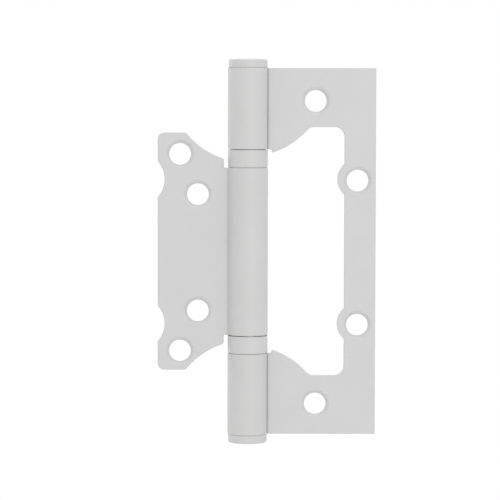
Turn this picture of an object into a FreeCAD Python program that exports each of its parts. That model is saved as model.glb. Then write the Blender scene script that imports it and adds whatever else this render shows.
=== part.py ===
import FreeCAD, Part
import math
import os

import Sketcher
from FreeCAD import Placement, Rotation, Vector

# A flush hinge with two ball bearing rings. X runs across the open hinge, Z runs up the
# pin, and the screw heads and the knuckles show on the side that faces minus Y. The origin
# is on the pin axis at half height. The frame leaf stays on plus X. The door leaf is drawn
# nested in the frame leaf's window, and its placement then turns it half round to minus X.

driving = {
    # sheet metal of both leaves
    "leaf_thickness": 2.5,
    "bend_radius": 0.5,       # inside radius of the bend from the flat into the knuckle
    "seam_gap": 0.38,         # left open between the end of the curl and the bend
    "notch_gap": 1.35,        # from the barrel's side to the sheet beside it
    # frame leaf
    "leaf_height": 125.0,
    "head_height": 20.05,     # sheet above the window, and below it
    "window_reach": 32.9,     # pin axis to the window's outer side
    "rail_width": 10.7,       # from there to the leaf's long edge
    "window_corner": 3.4,
    "lobe_drop": 1.2,         # how far the lobe hangs past the end of its knuckle
    "lobe_radius": 27.0,
    "lobe_fillet": 3.3,
    "boss_radius": 6.9,
    # door leaf, measured as gaps to the window that it nests in
    "ear_gap": 1.9,           # above and below the ears
    "side_gap": 2.15,
    "boss_gap": 2.1,
    "neck_gap": 2.05,
    "ear_corner": 2.3,
    "ear_fillet": 1.7,
    # screw holes, whose pattern has its middle a little below half height
    "pattern_drop": 0.4,
    "screw_hole": 7.4,
    "screw_sink": 9.5,
    "sink_angle": 90.0,
    "rail_hole_out": 4.5,     # from the window's side into the rail
    "rail_hole_drop": 17.8,   # below the top of the window
    "plate_hole_reach": 23.05,
    "plate_hole_drop": 10.75, # below the leaf's top edge
    "ear_hole_out": 4.2,      # outward and down from the middle of the ear, which runs
    "ear_hole_drop": 2.45,    # from the bend to its side and from the neck to its top
    "neck_hole_reach": 17.05,
    "neck_hole_drop": 11.7,   # below the door leaf's neck
    # pin, knuckles and caps
    "pin_size": 8.65,
    "pin_clearance": 0.05,
    "outer_knuckle": 27.65,   # length of each of the frame leaf's two knuckles
    "pin_bevel": 0.5,
    "cap_reveal": 0.25,       # how far the cap's side lies inside the knuckle's side
    "cap_height": 2.95,
    "cap_bevel": 0.4,
    "stem_length": 4.0,
    "stem_clearance": 0.02,
    # bearing rings
    "bearing_height": 6.3,
    "bearing_reveal": 0.05,   # how far the ring's side lies inside the knuckle's side
    "shell_wall": 0.35,
    "shell_bevel": 0.4,
    "shell_gap": 0.25,        # open seam between the cup's rim and the knuckle above
    "ball_side_gap": 0.275,
    "ball_clearance": 0.03,
    "race_clearance": 0.1,    # round the pin, and between the cage and the cup's wall
    "race_rim_gap": 0.35,     # from the races to the cup's wall
    "ball_lift": 0.1,         # how far the balls stand out of their cage, above and below
    "ball_count": 5,
}

doc = FreeCAD.newDocument("flush_hinge")
sheet = doc.addObject("Spreadsheet::Sheet", "sizes")
for row, (name, value) in enumerate(driving.items(), start=1):
    sheet.set(f"A{row}", name)
    sheet.set(f"B{row}", str(value))
    sheet.setAlias(f"B{row}", name)
doc.recompute()


class Size:
    # A number that keeps the rule which works it out from the sheet.
    def __init__(self, value, rule):
        self.value = value
        self.rule = rule

    def __add__(self, other):
        other = as_size(other)
        return Size(self.value + other.value, f"({self.rule} + {other.rule})")

    def __sub__(self, other):
        other = as_size(other)
        return Size(self.value - other.value, f"({self.rule} - {other.rule})")

    def __mul__(self, other):
        other = as_size(other)
        return Size(self.value * other.value, f"({self.rule} * {other.rule})")

    def __truediv__(self, other):
        other = as_size(other)
        return Size(self.value / other.value, f"({self.rule} / {other.rule})")

    def __neg__(self):
        return Size(-self.value, f"(0 - {self.rule})")


def as_size(number):
    return number if isinstance(number, Size) else Size(number, str(number))


def root_of(size):
    return Size(math.sqrt(size.value), f"sqrt({size.rule})")


def given(name):
    return Size(float(sheet.get(name)), f"sizes.{name}")


zero = as_size(0)

# The knuckle is curled round the pin, with the middle of its wall on curl_middle, and a
# bend of the other hand brings the sheet back onto the plane through the pin axis.
thick = given("leaf_thickness")
pin_radius = given("pin_size") / 2
bore_radius = pin_radius + given("pin_clearance")
knuckle_radius = bore_radius + thick
curl_middle = bore_radius + thick / 2
bend_inside = given("bend_radius")
bend_outside = bend_inside + thick
bend_middle = bend_inside + thick / 2
curl_to_bend = curl_middle + bend_middle
flat_start = root_of(curl_to_bend * curl_to_bend - bend_middle * bend_middle)
joint_cos = flat_start / curl_to_bend
joint_sin = bend_middle / curl_to_bend
notch_reach = knuckle_radius + given("notch_gap")

# The curl's outer corner lies one seam gap off the bend's outside. It is found along and
# across the line from the pin axis to the middle of the bend.
seam_reach = bend_outside + given("seam_gap")
seam_squares = knuckle_radius * knuckle_radius - seam_reach * seam_reach
seam_along = (seam_squares + curl_to_bend * curl_to_bend) / (curl_to_bend * 2)
seam_across = root_of(knuckle_radius * knuckle_radius - seam_along * seam_along)
seam_x = seam_along * joint_cos + seam_across * joint_sin
seam_y = seam_along * joint_sin - seam_across * joint_cos

# heights along the pin, all measured from half height
half_height = given("leaf_height") / 2
frame_knuckle_start = half_height - given("outer_knuckle")
door_knuckle_end = frame_knuckle_start - given("bearing_height")
pin_half_length = half_height - given("stem_length")

# outline of the frame leaf's window
window_reach = given("window_reach")
window_half = half_height - given("head_height")
frame_reach = window_reach + given("rail_width")
lobe_radius = given("lobe_radius")
lobe_tip = frame_knuckle_start - given("lobe_drop")
lobe_sag = root_of(lobe_radius * lobe_radius - notch_reach * notch_reach)
lobe_centre = lobe_tip + lobe_sag
lobe_rise = lobe_centre - window_half
lobe_end = root_of(lobe_radius * lobe_radius - lobe_rise * lobe_rise)
boss_out = given("rail_hole_out")
boss_reach = window_reach + boss_out
boss_height = window_half - given("rail_hole_drop")
boss_radius = given("boss_radius")
boss_half = root_of(boss_radius * boss_radius - boss_out * boss_out)

# outline of the door leaf, nested in that window
ear_reach = window_reach - given("side_gap")
ear_top = window_half - given("ear_gap")
neck_top = lobe_tip - given("neck_gap")
ear_centre = neck_top + lobe_sag
ear_rise = ear_centre - ear_top
ear_end = root_of(lobe_radius * lobe_radius - ear_rise * ear_rise)
ear_middle = (flat_start + ear_reach) / 2
ear_level = (neck_top + ear_top) / 2
pattern_drop = given("pattern_drop")
scallop_radius = boss_radius + given("boss_gap")
scallop_in = boss_reach - ear_reach
scallop_half = root_of(scallop_radius * scallop_radius - scallop_in * scallop_in)

# bearing ring, from its outside in, and from its floor up
shell_radius = knuckle_radius - given("bearing_reveal")
shell_wall = given("shell_wall")
shell_inside = shell_radius - shell_wall
shell_height = given("bearing_height") - given("shell_gap")
race_inner = pin_radius + given("race_clearance")
race_outer = shell_inside - given("race_rim_gap")
cage_outer = shell_inside - given("race_clearance")
pitch_radius = (pin_radius + shell_inside) / 2
ball_radius = (shell_inside - pin_radius) / 2 - given("ball_side_gap")
ball_room = ball_radius * 2 + given("ball_clearance") * 2
cage_half = ball_radius - given("ball_lift")
race_height = (given("bearing_height") - shell_wall - ball_room) / 2
ball_level = shell_wall + race_height + ball_room / 2
top_race_level = shell_wall + race_height + ball_room


def bind(thing, name, size):
    # Sets one number of a feature and ties it to the sheet.
    setattr(thing, name, size.value)
    thing.setExpression(name, size.rule)


def new_body(name):
    body = doc.addObject("PartDesign::Body", name)
    body.Label = name
    return body


def datum(body, role):
    # One of the body's own planes or axes, as features refer to it.
    return next((item, [""]) for item in body.Origin.OriginFeatures if item.Role == role)


def new_sketch(body, name, plane, lift=None):
    # A sketch on one of the body's own planes, raised along the plane's normal.
    sketch = body.newObject("Sketcher::SketchObject", name)
    sketch.AttachmentSupport = datum(body, plane)
    sketch.MapMode = "FlatFace"
    if lift is not None:
        sketch.AttachmentOffset = Placement(Vector(0, 0, lift.value), Rotation())
        sketch.setExpression("AttachmentOffset.Base.z", lift.rule)
    return sketch


def tie(sketch, kind, places, size):
    # One dimension of a sketch, tied to the sheet.
    index = sketch.addConstraint(Sketcher.Constraint(kind, *places, size.value))
    sketch.setExpression(f"Constraints[{index}]", size.rule)


def place_point(sketch, item, end, across, up):
    # Fixes one end of a stretch by its distances from the sketch's origin.
    for axis, kind, size in ((-2, "DistanceX", across), (-1, "DistanceY", up)):
        if size is zero:
            sketch.addConstraint(Sketcher.Constraint("PointOnObject", item, end, axis))
        else:
            tie(sketch, kind, (-1, 1, item, end), size)


def draw_outline(sketch, corners):
    # A closed outline. Each corner is its place, and where an arc leads on to the next
    # corner, also the arc's centre, its radius and its turn, plus one to the left.
    first_ends = []
    last_ends = []
    for number, corner in enumerate(corners):
        following = corners[(number + 1) % len(corners)]
        start = Vector(corner[0].value, corner[1].value, 0)
        end = Vector(following[0].value, following[1].value, 0)
        if len(corner) == 2:
            item = sketch.addGeometry(Part.LineSegment(start, end))
            first_ends.append((item, 1))
            last_ends.append((item, 2))
            continue
        middle, radius, turn = corner[2:]
        centre = Vector(middle[0].value, middle[1].value, 0)
        from_angle, to_angle = [
            math.atan2(point.y - centre.y, point.x - centre.x) for point in (start, end)
        ]
        if turn < 0:
            from_angle, to_angle = to_angle, from_angle
        circle = Part.Circle(centre, Vector(0, 0, 1), radius.value)
        item = sketch.addGeometry(Part.ArcOfCircle(circle, from_angle, to_angle))
        first_ends.append((item, 1 if turn > 0 else 2))
        last_ends.append((item, 2 if turn > 0 else 1))
        tie(sketch, "Radius", (item,), radius)
    for number, corner in enumerate(corners):
        item, end = first_ends[number]
        before = last_ends[number - 1]
        sketch.addConstraint(Sketcher.Constraint("Coincident", *before, item, end))
        place_point(sketch, item, end, corner[0], corner[1])


def pad(body, sketch, name, length, symmetric=False):
    feature = body.newObject("PartDesign::Pad", name)
    feature.Profile = sketch
    feature.SideType = "Symmetric" if symmetric else "One side"
    bind(feature, "Length", length)
    return feature


def revolve(body, name, corners):
    # Turns an outline of radius and height about the body's upright axis.
    sketch = new_sketch(body, name + "_section", "XZ_Plane")
    draw_outline(sketch, corners)
    feature = body.newObject("PartDesign::Revolution", name)
    feature.Profile = sketch
    feature.ReferenceAxis = (sketch, ["V_Axis"])
    feature.Angle = 360
    return feature


def mirror_upright(body, name, features):
    # Repeats features of the upper half in the lower half.
    feature = body.newObject("PartDesign::Mirrored", name)
    feature.Originals = features
    feature.MirrorPlane = datum(body, "XY_Plane")
    body.Tip = feature
    return feature


def pick_edges(body, wanted):
    # The newest feature of a body, with those of its edges that the test picks out.
    doc.recompute()
    picked = [
        f"Edge{number}"
        for number, edge in enumerate(body.Tip.Shape.Edges, start=1)
        if wanted(edge)
    ]
    return body.Tip, picked


def round_edges(body, name, wanted, radius):
    edges = pick_edges(body, wanted)
    feature = body.newObject("PartDesign::Fillet", name)
    feature.Base = edges
    bind(feature, "Radius", radius)


def bevel_edges(body, name, wanted, size):
    edges = pick_edges(body, wanted)
    feature = body.newObject("PartDesign::Chamfer", name)
    feature.Base = edges
    bind(feature, "Size", size)


def near(one, other):
    return abs(one - other) < 1e-4


def corner_at(*places):
    # Picks the edges through the sheet at the given distances across and up or down.
    def wanted(edge):
        box = edge.BoundBox
        through = box.XLength < 1e-4 and box.ZLength < 1e-4
        return through and any(
            near(box.Center.x, across.value) and near(abs(box.Center.z), up.value)
            for across, up in places
        )

    return wanted


def ring_at(radius, level):
    # Picks the round edge of the given radius about the upright axis, at one height.
    def wanted(edge):
        box = edge.BoundBox
        flat = box.ZLength < 1e-4 and near(box.ZMin, level.value)
        return flat and near(box.XLength, radius.value * 2)

    return wanted


def screw_holes(body, name, face, places):
    # Countersunk holes in pairs, one above and one below the middle of the pattern.
    sketch = new_sketch(body, name + "_places", "XZ_Plane", face)
    for across, up in places:
        for level in (up - pattern_drop, -up - pattern_drop):
            centre = Vector(across.value, level.value, 0)
            circle = Part.Circle(centre, Vector(0, 0, 1), given("screw_hole").value / 2)
            item = sketch.addGeometry(circle)
            tie(sketch, "Radius", (item,), given("screw_hole") / 2)
            place_point(sketch, item, 3, across, level)
    doc.recompute()
    before = body.Tip.Shape.Volume
    feature = body.newObject("PartDesign::Hole", name)
    feature.Profile = sketch
    doc.recompute()
    feature.Threaded = False
    feature.DepthType = "ThroughAll"
    feature.HoleCutType = "Countersink"
    feature.HoleCutCustomValues = True
    feature.Reversed = face.value < 0
    bind(feature, "Diameter", given("screw_hole"))
    bind(feature, "HoleCutDiameter", given("screw_sink"))
    bind(feature, "HoleCutCountersinkAngle", given("sink_angle"))
    doc.recompute()
    least = len(places) * 2 * math.pi * given("screw_hole").value ** 2 / 4 * thick.value
    if before - feature.Shape.Volume < least:
        raise ValueError(f"{name} did not cut through the sheet")


def curl_section(body, name, lift=None):
    # The knuckle's section, from the seam round the pin and through the bend to the flat.
    sketch = new_sketch(body, name, "XY_Plane", lift)
    wall_share = bore_radius / knuckle_radius
    pin_axis = (zero, zero)
    bend_axis = (flat_start, bend_middle)
    corners = [
        (seam_x, seam_y),
        (seam_x * wall_share, seam_y * wall_share, pin_axis, bore_radius, -1),
        (bore_radius * joint_cos, bore_radius * joint_sin, bend_axis, bend_outside, 1),
        (flat_start, -(thick / 2)),
        (flat_start, thick / 2, bend_axis, bend_inside, -1),
        (knuckle_radius * joint_cos, knuckle_radius * joint_sin, pin_axis, knuckle_radius, 1),
    ]
    draw_outline(sketch, corners)
    return sketch


def make_frame_leaf():
    body = new_body("frame_leaf")
    outline = new_sketch(body, "upper_half", "XZ_Plane")
    lobe_axis = (zero, lobe_centre)
    boss_axis = (boss_reach, boss_height)
    corners = [
        (frame_reach, zero),
        (frame_reach, half_height),
        (flat_start, half_height),
        (flat_start, frame_knuckle_start),
        (notch_reach, frame_knuckle_start),
        (notch_reach, lobe_tip, lobe_axis, lobe_radius, 1),
        (lobe_end, window_half),
        (window_reach, window_half),
        (window_reach, boss_height + boss_half, boss_axis, boss_radius, 1),
        (window_reach, boss_height - boss_half),
        (window_reach, zero),
    ]
    draw_outline(outline, corners)
    plate = pad(body, outline, "plate", thick, symmetric=True)
    section = curl_section(body, "curl", frame_knuckle_start)
    knuckle = pad(body, section, "knuckle", given("outer_knuckle"))
    mirror_upright(body, "lower_half", [plate, knuckle])
    window_corners = corner_at((window_reach, window_half))
    round_edges(body, "window_corners", window_corners, given("window_corner"))
    lobe_corners = corner_at((lobe_end, window_half))
    round_edges(body, "lobe_corners", lobe_corners, given("lobe_fillet"))
    holes = [
        (boss_reach, boss_height),
        (given("plate_hole_reach"), half_height - given("plate_hole_drop")),
    ]
    screw_holes(body, "screw_holes", thick / 2, holes)
    return body


def make_door_leaf():
    body = new_body("door_leaf")
    outline = new_sketch(body, "upper_half", "XZ_Plane")
    ear_axis = (zero, ear_centre)
    boss_axis = (boss_reach, boss_height)
    corners = [
        (ear_reach, zero),
        (ear_reach, boss_height - scallop_half, boss_axis, scallop_radius, -1),
        (ear_reach, boss_height + scallop_half),
        (ear_reach, ear_top),
        (ear_end, ear_top, ear_axis, lobe_radius, -1),
        (notch_reach, neck_top),
        (notch_reach, door_knuckle_end),
        (flat_start, door_knuckle_end),
        (flat_start, zero),
    ]
    draw_outline(outline, corners)
    plate = pad(body, outline, "plate", thick, symmetric=True)
    mirror_upright(body, "lower_half", [plate])
    section = curl_section(body, "curl")
    pad(body, section, "knuckle", door_knuckle_end * 2, symmetric=True)
    round_edges(body, "ear_corners", corner_at((ear_reach, ear_top)), given("ear_corner"))
    round_edges(body, "ear_fillets", corner_at((ear_end, ear_top)), given("ear_fillet"))
    holes = [
        (ear_middle + given("ear_hole_out"), ear_level - given("ear_hole_drop")),
        (given("neck_hole_reach"), neck_top - given("neck_hole_drop")),
    ]
    screw_holes(body, "screw_holes", -(thick / 2), holes)
    body.Placement = Placement(Vector(), Rotation(Vector(0, 0, 1), 180))
    return body


def make_pin():
    body = new_body("hinge_pin")
    section = new_sketch(body, "section", "XY_Plane")
    circle = Part.Circle(Vector(), Vector(0, 0, 1), pin_radius.value)
    item = section.addGeometry(circle)
    section.addConstraint(Sketcher.Constraint("Coincident", item, 3, -1, 1))
    tie(section, "Radius", (item,), pin_radius)
    pad(body, section, "shaft", pin_half_length * 2, symmetric=True)
    for name, level in (("top_bevel", pin_half_length), ("bottom_bevel", -pin_half_length)):
        bevel_edges(body, name, ring_at(pin_radius, level), given("pin_bevel"))
    return body


def make_cap(name, turn):
    # A turned cap whose stem is pressed into the bore of an outer knuckle.
    body = new_body(name)
    head_radius = knuckle_radius - given("cap_reveal")
    stem_radius = bore_radius - given("stem_clearance")
    corners = [
        (zero, half_height - given("stem_length")),
        (stem_radius, half_height - given("stem_length")),
        (stem_radius, half_height),
        (head_radius, half_height),
        (head_radius, half_height + given("cap_height")),
        (zero, half_height + given("cap_height")),
    ]
    revolve(body, "turned", corners)
    rim = ring_at(head_radius, half_height + given("cap_height"))
    bevel_edges(body, "rim_bevel", rim, given("cap_bevel"))
    body.Placement = Placement(Vector(), Rotation(Vector(1, 0, 0), turn))
    return body


def lift_body(body, level):
    body.Placement = Placement(Vector(0, 0, level.value), Rotation())
    body.setExpression("Placement.Base.z", level.rule)


def make_ball_ring(side, level):
    # The cage and the balls that it carries round the pin.
    body = new_body(f"{side}_ball_ring")
    corners = [
        (race_inner, -cage_half),
        (cage_outer, -cage_half),
        (cage_outer, cage_half),
        (race_inner, cage_half),
    ]
    cage = revolve(body, "cage", corners)
    ball = body.newObject("PartDesign::AdditiveSphere", "ball")
    ball.AttachmentSupport = datum(body, "XY_Plane")
    ball.MapMode = "FlatFace"
    ball.AttachmentOffset = Placement(Vector(pitch_radius.value, 0, 0), Rotation())
    ball.setExpression("AttachmentOffset.Base.x", pitch_radius.rule)
    bind(ball, "Radius", ball_radius)
    count = given("ball_count")
    balls = body.newObject("PartDesign::PolarPattern", "balls")
    balls.Originals = [ball]
    balls.Axis = datum(body, "Z_Axis")
    balls.Angle = 360
    balls.Occurrences = int(count.value)
    balls.setExpression("Occurrences", count.rule)
    body.Tip = balls
    doc.recompute()
    one_ball = ball.Shape.Volume - cage.Shape.Volume
    if not near(balls.Shape.Volume - cage.Shape.Volume, one_ball * count.value):
        raise ValueError(f"{body.Label} has not all its balls")
    lift_body(body, level)
    return body


def make_bearing(side, floor):
    # One ring, from the floor of its cup up: a race, the caged balls and a second race.
    bodies = []
    shell = new_body(f"{side}_bearing_shell")
    corners = [
        (race_inner, zero),
        (shell_radius, zero),
        (shell_radius, shell_height),
        (shell_inside, shell_height),
        (shell_inside, shell_wall),
        (race_inner, shell_wall),
    ]
    revolve(shell, "drawn_cup", corners)
    bevel_edges(shell, "foot_bevel", ring_at(shell_radius, zero), given("shell_bevel"))
    lift_body(shell, floor)
    bodies.append(shell)

    for name, level in (("bottom", shell_wall), ("top", top_race_level)):
        race = new_body(f"{side}_{name}_race")
        corners = [
            (race_inner, zero),
            (race_outer, zero),
            (race_outer, race_height),
            (race_inner, race_height),
        ]
        revolve(race, "washer", corners)
        lift_body(race, floor + level)
        bodies.append(race)

    bodies.append(make_ball_ring(side, floor + ball_level))
    return bodies


pieces = [
    make_frame_leaf(),
    make_door_leaf(),
    make_pin(),
    make_cap("top_cap", 0),
    make_cap("bottom_cap", 180),
]
pieces += make_bearing("upper", door_knuckle_end)
pieces += make_bearing("lower", -frame_knuckle_start)
doc.recompute()

faults = [
    f"{thing.Label}: {thing.State}"
    for thing in doc.Objects
    if "Invalid" in thing.State or "Error" in thing.State
]
for piece in pieces:
    shape = piece.Shape
    if shape.isNull() or not shape.isValid() or len(shape.Solids) != 1:
        faults.append(f"{piece.Label}: no single valid solid")
if faults:
    raise ValueError("; ".join(faults))

os.makedirs("parts", exist_ok=True)
for piece in pieces:
    piece.Shape.exportStep(f"parts/{piece.Label}.step")
    print(f"{piece.Label:22s} {piece.Shape.Volume:10.2f} mm3")
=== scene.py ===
import math

import bpy
from mathutils import Matrix, Vector

# A flush hinge laid flat open, seen from the side of the screw heads. Sizes are in metres:
# X runs across the open leaves, Z up the pin, and the viewer stands on the minus Y side.

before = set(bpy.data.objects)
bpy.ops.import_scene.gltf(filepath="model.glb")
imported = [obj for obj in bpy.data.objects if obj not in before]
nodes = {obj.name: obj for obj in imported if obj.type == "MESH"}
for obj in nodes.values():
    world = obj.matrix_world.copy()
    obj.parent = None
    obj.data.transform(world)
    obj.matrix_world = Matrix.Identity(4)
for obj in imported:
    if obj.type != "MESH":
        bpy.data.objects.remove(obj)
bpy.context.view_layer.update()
scene = bpy.context.scene
mm = 0.001
print("frame loaded")

noiseMiddle = (0.3, 0.7)  # the middle half of Blender's noise, which bunches round 0.5
mixFactor, mixFirst, mixSecond, mixResult = 0, 6, 7, 2  # the Mix node's sockets for colours


def addNode(tree, kind, label, **inputs):
    # a node with its sockets set by name
    node = tree.nodes.new(kind)
    node.label = label
    for name, value in inputs.items():
        node.inputs[name].default_value = value
    return node


def addMath(tree, operation, label, *sources):
    step = addNode(tree, "ShaderNodeMath", label)
    step.operation = operation
    for socket, source in zip(step.inputs, sources):
        tree.links.new(source, socket)
    return step.outputs["Value"]


def addRamp(tree, source, label, start, end, low=0.0, high=1.0):
    # low where the source is at or before start, high where it is at or past end
    ramp = addNode(tree, "ShaderNodeMapRange", label)
    ramp.inputs["From Min"].default_value = start
    ramp.inputs["From Max"].default_value = end
    ramp.inputs["To Min"].default_value = low
    ramp.inputs["To Max"].default_value = high
    tree.links.new(source, ramp.inputs["Value"])
    return ramp.outputs["Result"]


def addNoise(tree, place, label, wave, detail):
    # cloudy noise whose patches are about one wave across
    noise = addNode(tree, "ShaderNodeTexNoise", label, Scale=1 / wave, Detail=detail)
    tree.links.new(place, noise.inputs["Vector"])
    return noise.outputs["Fac"]


def addAxis(tree, vector, label, axis):
    # one axis of a vector, without its sign
    split = addNode(tree, "ShaderNodeSeparateXYZ", label)
    tree.links.new(vector, split.inputs["Vector"])
    return addMath(tree, "ABSOLUTE", label, split.outputs[axis])


def addMix(tree, factor, label, first, second):
    mix = addNode(tree, "ShaderNodeMix", label)
    mix.data_type = "RGBA"
    tree.links.new(factor, mix.inputs[mixFactor])
    for socket, colour in ((mix.inputs[mixFirst], first), (mix.inputs[mixSecond], second)):
        if isinstance(colour, bpy.types.NodeSocket):
            tree.links.new(colour, socket)
        else:
            socket.default_value = (*colour, 1.0)
    return mix.outputs[mixResult]


def addBump(tree, height, label, depth, strength, under=None):
    bump = addNode(tree, "ShaderNodeBump", label, Strength=strength, Distance=depth)
    tree.links.new(height, bump.inputs["Height"])
    if under is not None:
        tree.links.new(under, bump.inputs["Normal"])
    return bump.outputs["Normal"]


def newMaterial(name):
    material = bpy.data.materials.new(name)
    material.use_nodes = True
    tree = material.node_tree
    place = addNode(tree, "ShaderNodeTexCoord", "place on the part")
    return material, tree, tree.nodes["Principled BSDF"], place.outputs


def addCurlShadeShare(tree, place, curlShade):
    # where painted shade goes: 1 deep inside a narrow groove that runs along the pin, 0 in the open
    # and in the seams across the barrel, whose walls look up or down
    openness = addNode(tree, "ShaderNodeAmbientOcclusion", "openness", Distance=curlShade["reach"])
    openness.samples = curlShade["samples"]
    depth = addRamp(tree, openness.outputs["AO"], "groove depth", *curlShade["openness"])
    rise = addAxis(tree, place["Normal"], "facing up or down", "Z")
    upright = addRamp(tree, rise, "upright wall", *curlShade["rise"])
    return addMath(tree, "MULTIPLY", "groove share", depth, upright)


def makeCoat(name, look):
    # sprayed coat on sheet steel: broad clouds, a soft orange peel and a fine dry grain, and
    # painted shade: a dark colour laid inside the narrow groove of the curl, where the surface is closed
    # in
    material, tree, shader, place = newMaterial(name)
    clouds = addNoise(tree, place["Object"], "clouds", look["cloudWave"], look["cloudDetail"])
    peel = addNoise(tree, place["Object"], "orange peel", look["peelWave"], look["peelDetail"])
    grain = addNoise(tree, place["Object"], "grain", look["grainWave"], look["grainDetail"])
    cloudShare = addRamp(tree, clouds, "cloud share", *noiseMiddle)
    grainShare = addRamp(tree, grain, "grain share", *noiseMiddle, 0.0, look["grainShare"])
    colour = addMix(tree, cloudShare, "cloud colour", look["shade"], look["light"])
    # painted shade: the knuckles, near the pin, take the barrel's colours, a little darker than the flat
    # sheet's
    if "knuckle" in look:
        knuckle = look["knuckle"]
        knuckleColour = addMix(tree, cloudShare, "knuckle colour", knuckle["shade"], knuckle["light"])
        across = addAxis(tree, place["Object"], "distance across", "X")
        knuckleShare = addRamp(tree, across, "knuckle share", *look["knuckleEdge"])
        colour = addMix(tree, knuckleShare, "flat or knuckle", colour, knuckleColour)
    colour = addMix(tree, grainShare, "grain colour", colour, look["grainColour"])
    # painted shade in the narrow groove, dark where the surface is closed in
    curlShadeShare = addCurlShadeShare(tree, place, look["curlShade"])
    colour = addMix(tree, curlShadeShare, "groove colour", colour, look["curlShade"]["colour"])
    tree.links.new(colour, shader.inputs["Base Color"])
    roughness = addRamp(tree, grain, "roughness", *noiseMiddle, *look["roughness"])
    tree.links.new(roughness, shader.inputs["Roughness"])
    waves = addBump(tree, peel, "peel bump", look["peelDepth"], look["peelStrength"])
    normal = addBump(tree, grain, "grain bump", look["grainDepth"], look["grainStrength"], waves)
    tree.links.new(normal, shader.inputs["Normal"])
    shader.inputs["Specular IOR Level"].default_value = look["specular"]
    return material


def makeSteel(name, look):
    # ground or polished steel with rings round the pin's axis and a trace of oil
    material, tree, shader, place = newMaterial(name)
    stretch = addNode(tree, "ShaderNodeMapping", "stretch", Scale=look["stretch"])
    tree.links.new(place["Object"], stretch.inputs["Vector"])
    lines = addNoise(
        tree, stretch.outputs["Vector"], "grinding lines", look["lineWave"], look["lineDetail"]
    )
    stains = addNoise(tree, place["Object"], "stains", look["stainWave"], look["stainDetail"])
    share = addRamp(tree, stains, "stain share", *noiseMiddle)
    colour = addMix(tree, share, "steel colour", look["shade"], look["light"])
    tree.links.new(colour, shader.inputs["Base Color"])
    roughness = addRamp(tree, lines, "roughness", *noiseMiddle, *look["roughness"])
    tree.links.new(roughness, shader.inputs["Roughness"])
    normal = addBump(tree, lines, "line bump", look["lineDepth"], look["lineStrength"])
    tree.links.new(normal, shader.inputs["Normal"])
    shader.inputs["Metallic"].default_value = 1.0
    return material


# painted shade: the dark colour and the reach of the Ambient Occlusion node that lay shade into the
# groove
curlShade = {
    "colour": (0.19, 0.187, 0.183),
    "reach": 0.9 * mm,
    "samples": 8,
    "openness": (0.85, 0.35),  # from where the painted shade begins to where it is full
    "rise": (0.7, 0.3),  # from a wall that looks up or down to an upright one
}
barrelLook = {
    "light": (0.675, 0.675, 0.671),
    "shade": (0.655, 0.655, 0.651),
    "cloudWave": 16 * mm,
    "cloudDetail": 3.0,
    "grainWave": 0.16 * mm,
    "grainDetail": 2.0,
    "grainColour": (0.60, 0.60, 0.60),
    "grainShare": 0.25,
    "grainDepth": 0.006 * mm,
    "grainStrength": 0.4,
    "peelWave": 0.9 * mm,
    "peelDetail": 1.0,
    "peelDepth": 0.02 * mm,
    "peelStrength": 0.6,
    "roughness": (0.34, 0.44),
    "specular": 0.35,
    "curlShade": curlShade,
}
leafLook = {
    **barrelLook,
    "light": (0.69, 0.69, 0.69),
    "shade": (0.67, 0.67, 0.67),
    "roughness": (0.38, 0.50),
    "knuckle": barrelLook,
    "knuckleEdge": (7.2 * mm, 6.7 * mm),  # from the flat of the sheet to the knuckle's side
}
pinLook = {
    "light": (0.62, 0.62, 0.63),
    "shade": (0.53, 0.53, 0.55),
    "stainWave": 6 * mm,
    "stainDetail": 3.0,
    "lineWave": 0.4 * mm,
    "lineDetail": 4.0,
    "lineDepth": 0.003 * mm,
    "lineStrength": 0.3,
    "stretch": (0.15, 0.15, 4.0),
    "roughness": (0.22, 0.36),
}
# painted shade: the races' steel is darker than the pin's, so that the seams of the barrel read dark
raceLook = {
    **pinLook,
    "light": (0.46, 0.46, 0.46),
    "shade": (0.34, 0.33, 0.32),
    "roughness": (0.34, 0.48),
}
leafCoat = makeCoat("leafCoat", leafLook)
barrelCoat = makeCoat("barrelCoat", barrelLook)
pinSteel = makeSteel("pinSteel", pinLook)
raceSteel = makeSteel("raceSteel", raceLook)
print("materials made")

rounding = {
    "weldReach": 0.0005 * mm,
    "flatAngle": 0.5,  # degrees between faces that count as one flat
    "sharpAngle": 32,  # degrees from which an edge is rounded
    "faceWeight": 50,
}


def makeWeld():
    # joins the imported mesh's faces and drops their stored normals, so that edges can round
    tree = bpy.data.node_groups.new("weldFaces", "GeometryNodeTree")
    for way in ("INPUT", "OUTPUT"):
        tree.interface.new_socket("Mesh", in_out=way, socket_type="NodeSocketGeometry")
    start = tree.nodes.new("NodeGroupInput")
    merge = addNode(tree, "GeometryNodeMergeByDistance", "weld", Distance=rounding["weldReach"])
    normals = addNode(tree, "GeometryNodeSetMeshNormal", "drop stored normals")
    normals.mode = "SHARPNESS"
    normals.inputs["Remove Custom"].default_value = True
    normals.inputs["Edge Sharpness"].default_value = False
    normals.inputs["Face Sharpness"].default_value = False
    end = tree.nodes.new("NodeGroupOutput")
    tree.links.new(start.outputs["Mesh"], merge.inputs["Geometry"])
    tree.links.new(merge.outputs["Geometry"], normals.inputs["Mesh"])
    tree.links.new(normals.outputs["Mesh"], end.inputs["Mesh"])
    return tree


weld = makeWeld()


def roundEdges(node, radius, segments):
    node.modifiers.new("weldFaces", "NODES").node_group = weld
    flat = node.modifiers.new("flatFaces", "DECIMATE")
    flat.decimate_type = "DISSOLVE"
    flat.angle_limit = math.radians(rounding["flatAngle"])
    edge = node.modifiers.new("tumbledEdges", "BEVEL")
    edge.width = radius
    edge.segments = segments
    edge.limit_method = "ANGLE"
    edge.angle_limit = math.radians(rounding["sharpAngle"])
    edge.use_clamp_overlap = True
    shading = node.modifiers.new("evenShading", "WEIGHTED_NORMAL")
    shading.weight = rounding["faceWeight"]
    shading.keep_sharp = False


def dress(piece):
    for name in piece["nodes"]:
        for slot in nodes[name].material_slots:
            slot.link = "OBJECT"
            slot.material = piece["material"]
        roundEdges(nodes[name], piece["edge"], piece["segments"])


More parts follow.
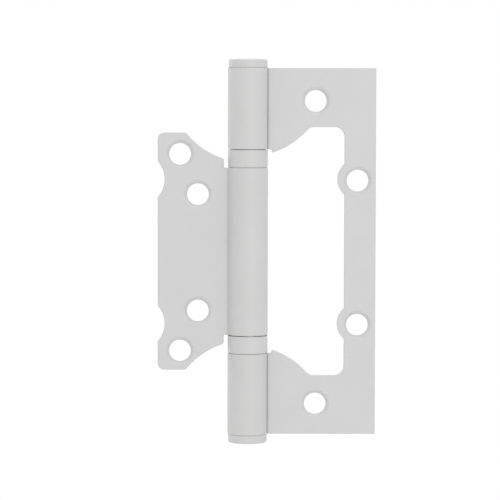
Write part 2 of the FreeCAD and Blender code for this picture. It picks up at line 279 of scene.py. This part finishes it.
leaves = {
    "nodes": ["frame_leaf", "door_leaf"],
    "material": leafCoat,
    "edge": 0.3 * mm,
    "segments": 3,
}
caps = {
    "nodes": ["top_cap", "bottom_cap"],
    "material": barrelCoat,
    "edge": 0.24 * mm,
    "segments": 3,
}
shells = {
    "nodes": ["upper_bearing_shell", "lower_bearing_shell"],
    "material": barrelCoat,
    "edge": 0.1 * mm,
    "segments": 2,
}
races = {
    "nodes": ["upper_bottom_race", "upper_top_race", "lower_bottom_race", "lower_top_race"],
    "material": raceSteel,
    "edge": 0.12 * mm,
    "segments": 2,
}
pin = {
    "nodes": ["hinge_pin"],
    "material": pinSteel,
    "edge": 0.1 * mm,
    "segments": 2,
}
ballRings = {
    "nodes": ["upper_ball_ring", "lower_ball_ring"],
    "material": raceSteel,
    "edge": 0.05 * mm,
    "segments": 2,
}
for piece in (leaves, caps, shells, races, pin, ballRings):
    dress(piece)
print("pieces dressed")


def makeFloor(look):
    # a round floor below the hinge, out of the photograph's view
    corners = []
    for step in range(look["corners"]):
        turn = math.tau * step / look["corners"]
        corners.append((look["radius"] * math.cos(turn), look["radius"] * math.sin(turn), look["level"]))
    mesh = bpy.data.meshes.new("floor")
    mesh.from_pydata(corners, [], [range(len(corners))])
    floor = bpy.data.objects.new("floor", mesh)
    scene.collection.objects.link(floor)
    material, tree, shader, place = newMaterial("floorPaint")
    clouds = addNoise(tree, place["Object"], "clouds", look["cloudWave"], look["cloudDetail"])
    share = addRamp(tree, clouds, "cloud share", *noiseMiddle)
    colour = addMix(tree, share, "cloud colour", look["shade"], look["light"])
    tree.links.new(colour, shader.inputs["Base Color"])
    shader.inputs["Roughness"].default_value = look["roughness"]
    mesh.materials.append(material)


floorLook = {
    "radius": 1.0,
    "level": -0.5,
    "corners": 128,
    "light": (0.88, 0.88, 0.88),
    "shade": (0.84, 0.84, 0.84),
    "cloudWave": 0.4,
    "cloudDetail": 2.0,
    "roughness": 0.85,
}
makeFloor(floorLook)


def makeWorld(look):
    # white to the camera and in reflections, and a softer light on matt surfaces
    world = bpy.data.worlds.new("studio")
    world.use_nodes = True
    scene.world = world
    tree = world.node_tree
    background = tree.nodes["Background"]
    background.inputs["Color"].default_value = (*look["colour"], 1.0)
    paths = addNode(tree, "ShaderNodeLightPath", "kind of ray")
    white = paths.outputs["Is Camera Ray"]
    for name in ("Is Glossy Ray", "Is Transmission Ray"):
        white = addMath(tree, "MAXIMUM", "shown white", white, paths.outputs[name])
    strength = addRamp(tree, white, "strength", 0.0, 1.0, look["softStrength"], look["whiteStrength"])
    tree.links.new(strength, background.inputs["Strength"])


worldLook = {
    "colour": (1.0, 1.0, 1.0),
    "whiteStrength": 1.0,
    "softStrength": 0.755,
}
makeWorld(worldLook)


def addLight(look):
    data = bpy.data.lights.new(look["name"], "AREA")
    data.shape = "RECTANGLE"
    data.size, data.size_y = look["size"]
    data.energy = look["power"]
    data.color = look["colour"]
    light = bpy.data.objects.new(look["name"], data)
    scene.collection.objects.link(light)
    place = Vector(look["place"])
    aim = Vector(look["aim"]) - place
    light.location = place
    light.rotation_euler = aim.to_track_quat("-Z", "Y").to_euler()


frontLight = {
    "name": "frontLight",
    "place": (0.443, -1.217, 0.113),
    "aim": (0, 0, 0),
    "size": (0.7, 0.7),
    "power": 2.88,
    "colour": (1.0, 1.0, 1.0),
}
topLight = {
    **frontLight,
    "name": "topLight",
    "place": (0, -0.113, 1.295),
    "power": 4.0,
}
backLight = {
    **frontLight,
    "name": "backLight",
    "place": (-1.061, 0.743, 0.113),  # lifts the left rims of the outer knuckles
    "power": 1.5,
}
for look in (frontLight, topLight, backLight):
    addLight(look)


def makeCamera(look):
    data = bpy.data.cameras.new("camera")
    data.sensor_fit = "HORIZONTAL"
    data.sensor_width = look["sensor"]
    data.lens = look["lens"]
    camera = bpy.data.objects.new("camera", data)
    scene.collection.objects.link(camera)
    down = math.radians(look["down"])
    ahead = Vector((0.0, math.cos(down), -math.sin(down)))
    lean = Matrix.Rotation(math.radians(look["lean"]), 3, ahead)
    level = Vector((1.0, 0.0, 0.0))
    right = lean @ level
    up = lean @ level.cross(ahead)
    turn = Matrix((right, up, -ahead)).transposed().to_4x4()
    camera.matrix_world = Matrix.Translation(Vector(look["place"])) @ turn
    scene.camera = camera


cameraLook = {
    "place": (0.77 * mm, -0.806, 0.0427),
    "down": 3.0,  # degrees below level
    "lean": -0.127,  # degrees round the line of sight
    "lens": 170.1,  # both in millimetres
    "sensor": 36.0,
}
makeCamera(cameraLook)
scene.view_settings.view_transform = "Standard"
print("floor, light and camera set")
